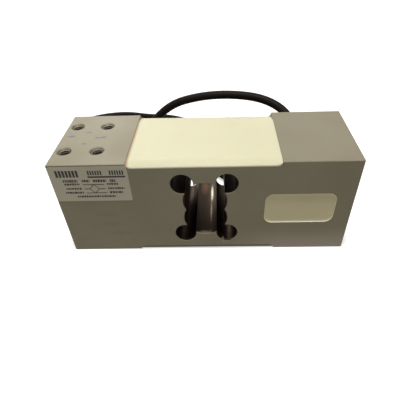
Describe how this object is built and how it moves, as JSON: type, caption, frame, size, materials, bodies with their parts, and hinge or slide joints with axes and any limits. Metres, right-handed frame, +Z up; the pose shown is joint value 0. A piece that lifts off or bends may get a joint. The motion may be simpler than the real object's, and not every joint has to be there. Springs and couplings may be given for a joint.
{
  "type": "single point load cell",
  "caption": "Single point load cell: aluminium spring block with a lobed cut-out, potted gauge recesses and side pocket, tapped ends and a coiled signal cable.",
  "frame": {"origin": "centre of the block's underside", "axes": "+X along the block from the load end to the fixed end, +Y from the label side to the cable side, +Z up"},
  "size_m": [0.22, 0.1969, 0.065],
  "materials": {
    "block_aluminium": "bead-blasted and clear anodised, satin, light wear",
    "recess_silicone": "cast silicone, smooth satin, cream",
    "pocket_silicone": "cast silicone, smooth satin, tan",
    "gauge_film": "polyimide film with etched foil",
    "terminal_copper": "tinned copper pads on film",
    "bare_copper": "drawn wire",
    "wire_enamel": "enamelled wire, twisted",
    "board_laminate": "green solder mask",
    "resistor_lacquer": "lacquered body",
    "insulation_red": "extruded insulation",
    "insulation_black": "extruded insulation",
    "insulation_green": "extruded insulation",
    "insulation_white": "extruded insulation",
    "cable_jacket": "extruded jacket, semi-gloss",
    "bush_rubber": "moulded, matt",
    "tie_nylon": "natural nylon",
    "shrink_sleeve": "heat-shrunk tubing",
    "shield_braid": "tinned braid, twisted",
    "label_foil": "brushed foil, matt lacquer"
  },
  "bodies": {
    "root": {"spring_element": "block_aluminium", "top_potting": "recess_silicone", "bottom_potting": "recess_silicone", "pocket_potting": "pocket_silicone", "top_gauge_load_end": "gauge_film", "top_gauge_fixed_end": "gauge_film", "bottom_gauge_load_end": "gauge_film", "bottom_gauge_fixed_end": "gauge_film", "top_terminal_strip": "terminal_copper", "bottom_terminal_strip": "terminal_copper", "top_gauge_leads": "bare_copper", "bottom_gauge_leads": "bare_copper", "top_bridge_wires": "wire_enamel", "bottom_bridge_wires": "wire_enamel", "compensation_board": "board_laminate", "trim_resistors": "resistor_lacquer", "core_red": "insulation_red", "core_black": "insulation_black", "core_green": "insulation_green", "core_white": "insulation_white", "cable_in_block": "cable_jacket", "cable_bush": "bush_rubber", "cable": "cable_jacket", "cable_coil": "cable_jacket", "cable_tail": "cable_jacket", "coil_tie_front": "tie_nylon", "coil_tie_back": "tie_nylon", "end_sleeve": "shrink_sleeve", "lead_red": "insulation_red", "lead_black": "insulation_black", "lead_green": "insulation_green", "lead_white": "insulation_white", "lead_shield": "shield_braid", "type_label": "label_foil"}
  },
  "joints": []
}
